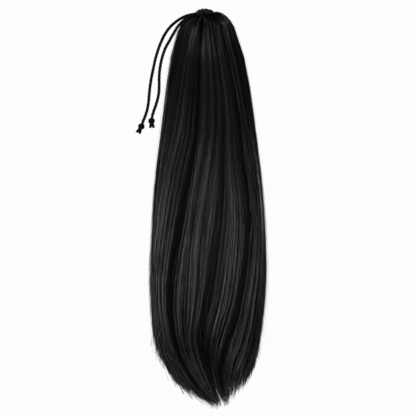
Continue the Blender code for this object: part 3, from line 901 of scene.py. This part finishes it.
def strands(name, seed, side, count, depth, width, short=0.06, inside=0.0, roll=0.4, lift=0.0, stray=0.0):
    """One layer of fibres. Side is -1 for the front and 1 for the back. Depth is a range in metres below
    the locks, and width one in millimetres. Short is how far above the hem most end, and inside how far
    some lie towards the middle, as shares. Roll turns the flat of each; lift and stray loosen them."""
    crown_rows, fall_rows = 7, 13
    rng = np.random.default_rng(seed)
    start = (np.arange(count) + rng.uniform(0, 1, count)) / count * math.pi
    place = np.cos(start)
    tuft = ripples(np.random.default_rng(TUFT_SEED + side), start, 0.0, (40, 130), 9, 0.0)
    end, thinned = fibre_ends(rng, place, tuft, short)

    # The way along the hair of each of a fibre's points, closer together near its end
    steps = np.linspace(0, 1, fall_rows + 1)[1:]
    steps = 1 - (1 - steps) ** 1.25
    edge = CROWN[-1, 0] + (CROWN[-1, 1] - CROWN[-1, 0]) * (0.5 + 0.5 * swept(place, np.full(count, 0.05)))
    reach = (end - edge) / (1 - edge)
    crown = np.repeat(np.linspace(0, 1, crown_rows)[None, :], count, 0)
    way = np.concatenate([crown, 1 + steps[None, :] * reach[:, None]], 1)
    along = np.concatenate([np.zeros(crown_rows), steps])[None, :]
    start, place = start[:, None], place[:, None]
    drop = edge[:, None] + (1 - edge[:, None]) * np.clip(way - 1, 0, 1.02)
    freed = np.clip(way, 0, 2) / 2
    tip = np.clip((along - 0.8) / 0.2, 0, 1)

    def each(low, high):
        return rng.uniform(low, high, count)[:, None]

    # Round the hair: along the sweep, with a bend, a wander of its own, and a pull to ridges and tufts
    waves = np.random.default_rng(BEND_SEED + side)
    bend = ripples(waves, start, way, (4, 14), 6, 3.0)
    crossing = rng.normal(0, 1, count)[:, None] * np.where(each(0, 1) < 0.1, 3.0, 1.0)
    wander = crossing * np.sin(each(1.5, 4.0) * way + each(0, 6.3))
    near = 0.008
    rise = (relief(start + near, way, drop, side) - relief(start - near, way, drop, side)) / (2 * near)
    near = 0.002
    before, after = (
        ripples(np.random.default_rng(GATHER_SEED + side), start + turn, way, (110, 250), 9, 1.5)
        for turn in (-near, near)
    )
    gather = (0.3 + 1.3 * tip) * (after - before) / (2 * near) / 180**2
    shift = (0.014 * bend + 0.008 * wander + 0.5 * np.clip(rise, -0.02, 0.02) + gather) * freed
    lying = np.clip(swept(np.repeat(place, way.shape[1], 1), drop), -1, 1)
    angle = side * (np.arccos(lying) + shift)

    # In and out: on the locks, less its depth, and closer to the middle towards its end
    height = relief(start, way, drop, side)
    points, _ = hair_surface(angle, way)
    out = outward(angle, way)
    taper = np.clip((1 - along) / 0.12, 0, 1)
    under = each(*depth) * np.clip(way * 2, 0.3, 1) * (0.3 + 0.7 * taper)
    lifted = lift * MM * each(0, 1) ** 2 * np.clip(np.sin(each(2, 5) * way + each(0, 6.3)), 0, 1)
    points = points + out * (height * (0.4 + 0.6 * taper) - under + lifted)[..., None]
    points[..., 1] *= 1 - each(0, inside) * np.clip(way, 0, 1)
    points[..., 1] *= 1 - each(0, 1) * np.clip((way - 1.4) / 0.5, 0, 1) ** 2

    # The ends flare in tufts, and the outermost swing out as loose wisps
    flare = (0.9 * tuft + rng.normal(0, 0.8, count))[:, None] * MM
    spread = 4.5 * each(0, 1) ** 4 + np.clip(tuft, -1, 1)[:, None]
    outer = np.where(place < 0, -1.0, 0.4) * np.abs(place) ** 3 * spread * MM
    points[..., 0] += (0.6 * flare + outer) * tip**2
    swing = each(0, 1)
    in_tuft = 7 * swing**2 * np.clip(tuft[:, None] + 0.4, 0, 1.3)
    wisp = np.where(thinned[:, None], in_tuft, 2.0 + 4.0 * swing)
    wisp *= np.clip((end[:, None] - 0.83) / 0.04, 0, 1)
    points[:, -1:, 0] += np.where(place < 0, -1.0, 0.5) * np.abs(place) ** 3 * wisp * MM
    points[..., 0] += rng.normal(0, stray * MM, (count, 1)) * along**3
    points[..., 1] += rng.normal(0, stray * MM / 2, (count, 1)) * along**3

    # The flat of each fibre faces outward, tilted by the locks' slopes, by fine waves and by chance
    round_way = hair_surface(angle + 0.01, way)[0] - hair_surface(angle - 0.01, way)[0]
    size = np.linalg.norm(round_way, axis=-1, keepdims=True)
    tilt = rng.normal(0, roll, (count, 1, 1))
    tilt = tilt + 0.55 * ripples(waves, start, way, (200, 420), 12, 2.0)[..., None]
    tilt = side * rise[..., None] * 0.02 / size + tilt * np.clip(2.0 * way - 1.5, 0.25, 1)[..., None]
    out = out - round_way / size * np.clip(tilt, -1.0, 1.0)
    blunt = np.where(thinned, 0.3, 0.8)[:, None]
    widths = each(*width) * MM * (0.5 + 0.5 * np.clip(way, 0, 1)) * (blunt + (1 - blunt) * taper)
    mesh = strand_mesh(name, points, out, widths)
    piece = add_piece(name, mesh, FIBRES[0])
    for finish in FIBRES[1:]:
        mesh.materials.append(finish)

    # Streaks from dark to silky finish at random, with painted highlight (the lighter finish) on the ridges
    # of the locks, painted shade (the darker finish) in their hollows, and painted shade (the darkest
    # finish) at the roots
    streaks_and_painted_light = 0.4 * ripples(waves, start, 0.0, (20, 60), 9, 0.0)
    streaks_and_painted_light = streaks_and_painted_light + 0.5 * ripples(waves, start, 0.0, (80, 240), 12, 0.0)
    streaks_and_painted_light = streaks_and_painted_light[:, 0] + rng.normal(0, 0.5, count)
    # Painted highlight on the ridges of the front locks and painted shade in their hollows
    if side < 0:
        for spot, spread, tall in LOCKS:
            streaks_and_painted_light += 0.38 * tall * bell(place[:, 0], spot, spread)
    shade = np.digitize(streaks_and_painted_light, (-0.1, 0.7))
    # Painted shade: the darkest finish near the roots, in the gathers under the knob
    painted_root_shade_reach = ripples(np.random.default_rng(SHADE_SEED + side), start, 0.0, (9, 30), 9, 0.0)
    painted_root_shade_reach = 0.40 + 0.30 * painted_root_shade_reach
    shades = np.where(way[:, :-1] < painted_root_shade_reach, 0, shade[:, None])
    index = np.concatenate([np.repeat(shades.ravel(), 3), shade, shade]).astype(np.int32)
    mesh.polygons.foreach_set("material_index", index)
    return piece


def hair_core():
    """The dark mass of fibre under the strands, open round the cap and closed at its foot."""
    turns = np.linspace(0, 2 * math.pi, 97)[:-1]
    rings = []

    def add_ring(across, deep, z):
        rings.append(np.column_stack([across * np.cos(turns), deep * np.sin(turns), np.full_like(turns, z)]))

    for way in np.concatenate([np.linspace(1.86, 1.0, 22), np.linspace(0.9, 0.25, 6)]):
        ways = np.full_like(turns, way)
        points, _ = hair_surface(turns, ways)
        tuck = min(1.0, (1.9 - way) / 0.4) ** 0.5
        points = points - outward(turns, ways) * CORE_DEPTH
        points[:, 0] *= 0.55 + 0.45 * tuck
        points[:, 1] *= 0.25 + 0.75 * tuck
        rings.append(points)
    collar = CASING_RADIUS + COLLAR_GAP
    foot = -(CASING_HEIGHT + COLLAR_GAP)
    add_ring(collar, collar, foot + 1.5 * MM)
    add_ring(collar, collar, foot)
    for share, neck, belly in CAP_OUTLINE[2:-1]:
        across = neck * CAP_NECK + belly * CAP_HALF_WIDTH + CAP_GAP
        deep = neck * CAP_NECK + belly * CAP_HALF_DEPTH + CAP_GAP
        add_ring(across, deep, cap_high[2] - share * CAP_HEIGHT)
    under = rings[0].mean(0) - (0, 0, 6 * MM)
    points = np.concatenate([*rings, [under, (0, 0, cap_low[2] - CAP_GAP)]])
    quads, caps = closed_rings(len(rings), len(turns))
    return add_piece("hair_core", mesh_from("hair_core", points, quads, caps), FIBRES[0])


# The three finishes are lighter and darker copies of one fibre: the tone varies at random, and the lighter
# ones also stand in for painted highlight on the locks' ridges, the darkest for painted shade in hollows and
# at the roots
# Name, two shades, roughness and gloss
FIBRES = [
    fibre_material("black_synthetic_fibre", ("#030303", "#070607"), 0.38, 0.14),
    fibre_material("soft_black_synthetic_fibre", ("#080708", "#0e0d0e"), 0.31, 0.45),
    fibre_material("silky_black_fibre_tone_and_painted_highlight", ("#0e0d0e", "#1a1819"), 0.26, 1.0),
]
# The core, then the layers from inside out: name, seed, side, count, depths, widths, and what differs
hair = [
    hair_core(),
    strands("hair_front_inside", 21, -1, 1100, (1.5 * MM, 3.0 * MM), (0.5, 0.8), short=0.10, inside=0.95),
    strands("hair_front_middle", 22, -1, 1500, (0.9 * MM, 2.4 * MM), (0.5, 0.75)),
    strands("hair_front_top", 23, -1, 1600, (0.0 * MM, 1.0 * MM), (0.36, 0.55), roll=0.85, lift=0.7),
    strands("hair_back_inside", 24, 1, 1100, (1.5 * MM, 3.0 * MM), (0.5, 0.8), short=0.10, inside=0.95),
    strands("hair_back_top", 25, 1, 1600, (0.0 * MM, 2.0 * MM), (0.45, 0.75), lift=0.7),
    strands("hair_flyaways_front", 26, -1, 340, (-0.3 * MM, 0.4 * MM), (0.18, 0.26), lift=2.6, stray=2.0),
    strands("hair_flyaways_back", 27, 1, 240, (-0.3 * MM, 0.4 * MM), (0.18, 0.26), lift=2.6, stray=2.0),
]
for piece in hair:
    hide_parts("hair_fall")


# Studio: a white room with ten softboxes, four of them above the hair, four level with it at the front
# and sides and two behind, and far below it a round pale floor of acrylic sheet, lit from under.
FLOOR_HEIGHT = -1.0
FLOOR_RADIUS = 1.0
ROOM_LIGHT = 0.03
BACKDROP_LIGHT = 0.98


def softbox(name, place, aim, size, power):
    """A rectangular lamp at a place, turned to its aim."""
    light = bpy.data.lights.new(name, "AREA")
    light.shape = "RECTANGLE"
    light.size, light.size_y = size
    light.energy = power
    made = bpy.data.objects.new(name, light)
    made.location = place
    made.rotation_euler = (Vector(aim) - Vector(place)).to_track_quat("-Z", "Y").to_euler()
    bpy.context.collection.objects.link(made)


# Place, aim, width and height, and power in watts
SOFTBOXES = {
    "softbox_overhead": ((0.0, -0.6, 1.3), (0, 0, -0.03), (0.8, 0.4), 0.4),
    "softbox_overhead_left": ((-1.1, 0.5, 1.1), (0, 0, -0.03), (0.5, 0.4), 2.2),
    "softbox_overhead_right": ((1.2, 0.5, 1.2), (0, 0, -0.03), (0.5, 0.4), 3.4),
    "softbox_above": ((0.0, -1.5, 0.57), (0, 0, -0.03), (0.9, 0.15), 2.8),
    "softbox_left": ((-1.1, -1.3, -0.42), (0, 0, -0.30), (0.30, 0.25), 4.8),
    "softbox_low": ((-0.5, -1.6, -0.72), (0, 0, -0.36), (0.5, 0.25), 1.0),
    "softbox_right": ((1.2, -1.1, -0.40), (0, 0, -0.30), (0.30, 0.25), 3.0),
    "softbox_front": ((-0.2, -2.0, -0.36), (0, 0, -0.30), (0.4, 0.2), 1.5),
    "softbox_back_left": ((1.0, 1.4, -0.2), (0, 0, -0.25), (0.4, 0.4), 5.0),
    "softbox_back_right": ((-0.9, 1.5, 0.2), (0, 0, -0.2), (0.4, 0.4), 5.0),
}
for name, (place, aim, size, power) in SOFTBOXES.items():
    softbox(name, place, aim, size, power)

world = bpy.data.worlds.new("white_room")
world.use_nodes = True
bpy.context.scene.world = world
# The room lights the hair only a little, and is seen as a bright white backdrop
room = world.node_tree
lit = room.nodes["Background"]
lit.inputs["Color"].default_value = (1, 1, 1, 1)
lit.inputs["Strength"].default_value = ROOM_LIGHT
seen = node(room, "ShaderNodeBackground", inputs={"Color": (1, 1, 1, 1), "Strength": BACKDROP_LIGHT})
path_kind = node(room, "ShaderNodeLightPath")
both = node(room, "ShaderNodeMixShader", links=[("Fac", path_kind, "Is Camera Ray")])
room.links.new(lit.outputs["Background"], both.inputs[1])
room.links.new(seen.outputs["Background"], both.inputs[2])
room.links.new(both.outputs["Shader"], room.nodes["World Output"].inputs["Surface"])


def studio_floor():
    bm = bmesh.new()
    bmesh.ops.create_circle(bm, cap_ends=True, segments=96, radius=FLOOR_RADIUS)
    bmesh.ops.translate(bm, verts=bm.verts, vec=(0, 0, FLOOR_HEIGHT))
    mesh = bpy.data.meshes.new("studio_floor")
    bm.to_mesh(mesh)
    bm.free()
    finish, _, shader = new_material("opal_acrylic_sheet_lit_from_below")
    shader.inputs["Base Color"].default_value = linear("#ecebe8")
    shader.inputs["Roughness"].default_value = 0.9
    shader.inputs["Emission Color"].default_value = linear("#f4f3f1")
    shader.inputs["Emission Strength"].default_value = 0.45
    mesh.materials.append(finish)
    floor = bpy.data.objects.new("studio_floor", mesh)
    bpy.context.collection.objects.link(floor)


studio_floor()
